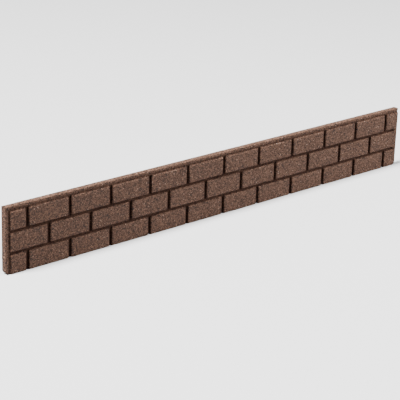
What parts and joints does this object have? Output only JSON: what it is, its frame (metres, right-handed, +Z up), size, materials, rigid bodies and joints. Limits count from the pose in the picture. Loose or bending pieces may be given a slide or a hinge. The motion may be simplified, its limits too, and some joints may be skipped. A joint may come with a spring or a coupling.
{
  "type": "garden edging board",
  "caption": "Straight garden edging board of bonded rubber crumb, moulded in one piece, with a brick pattern in running bond on the front and a plain flat back.",
  "frame": {"origin": "under the middle of the board, level with its lower edge and at the middle of its thickness", "axes": "+X along the board towards the plain right margin, +Y through the board from the brick front to the flat back, +Z up"},
  "size_m": [1.2, 0.016, 0.15],
  "materials": {
    "rubber_crumb": "dull, granular recycled rubber crumb bound in tinted polyurethane, brown, compression-moulded"
  },
  "bodies": {
    "root": {"edging_board": "rubber_crumb"}
  },
  "joints": []
}
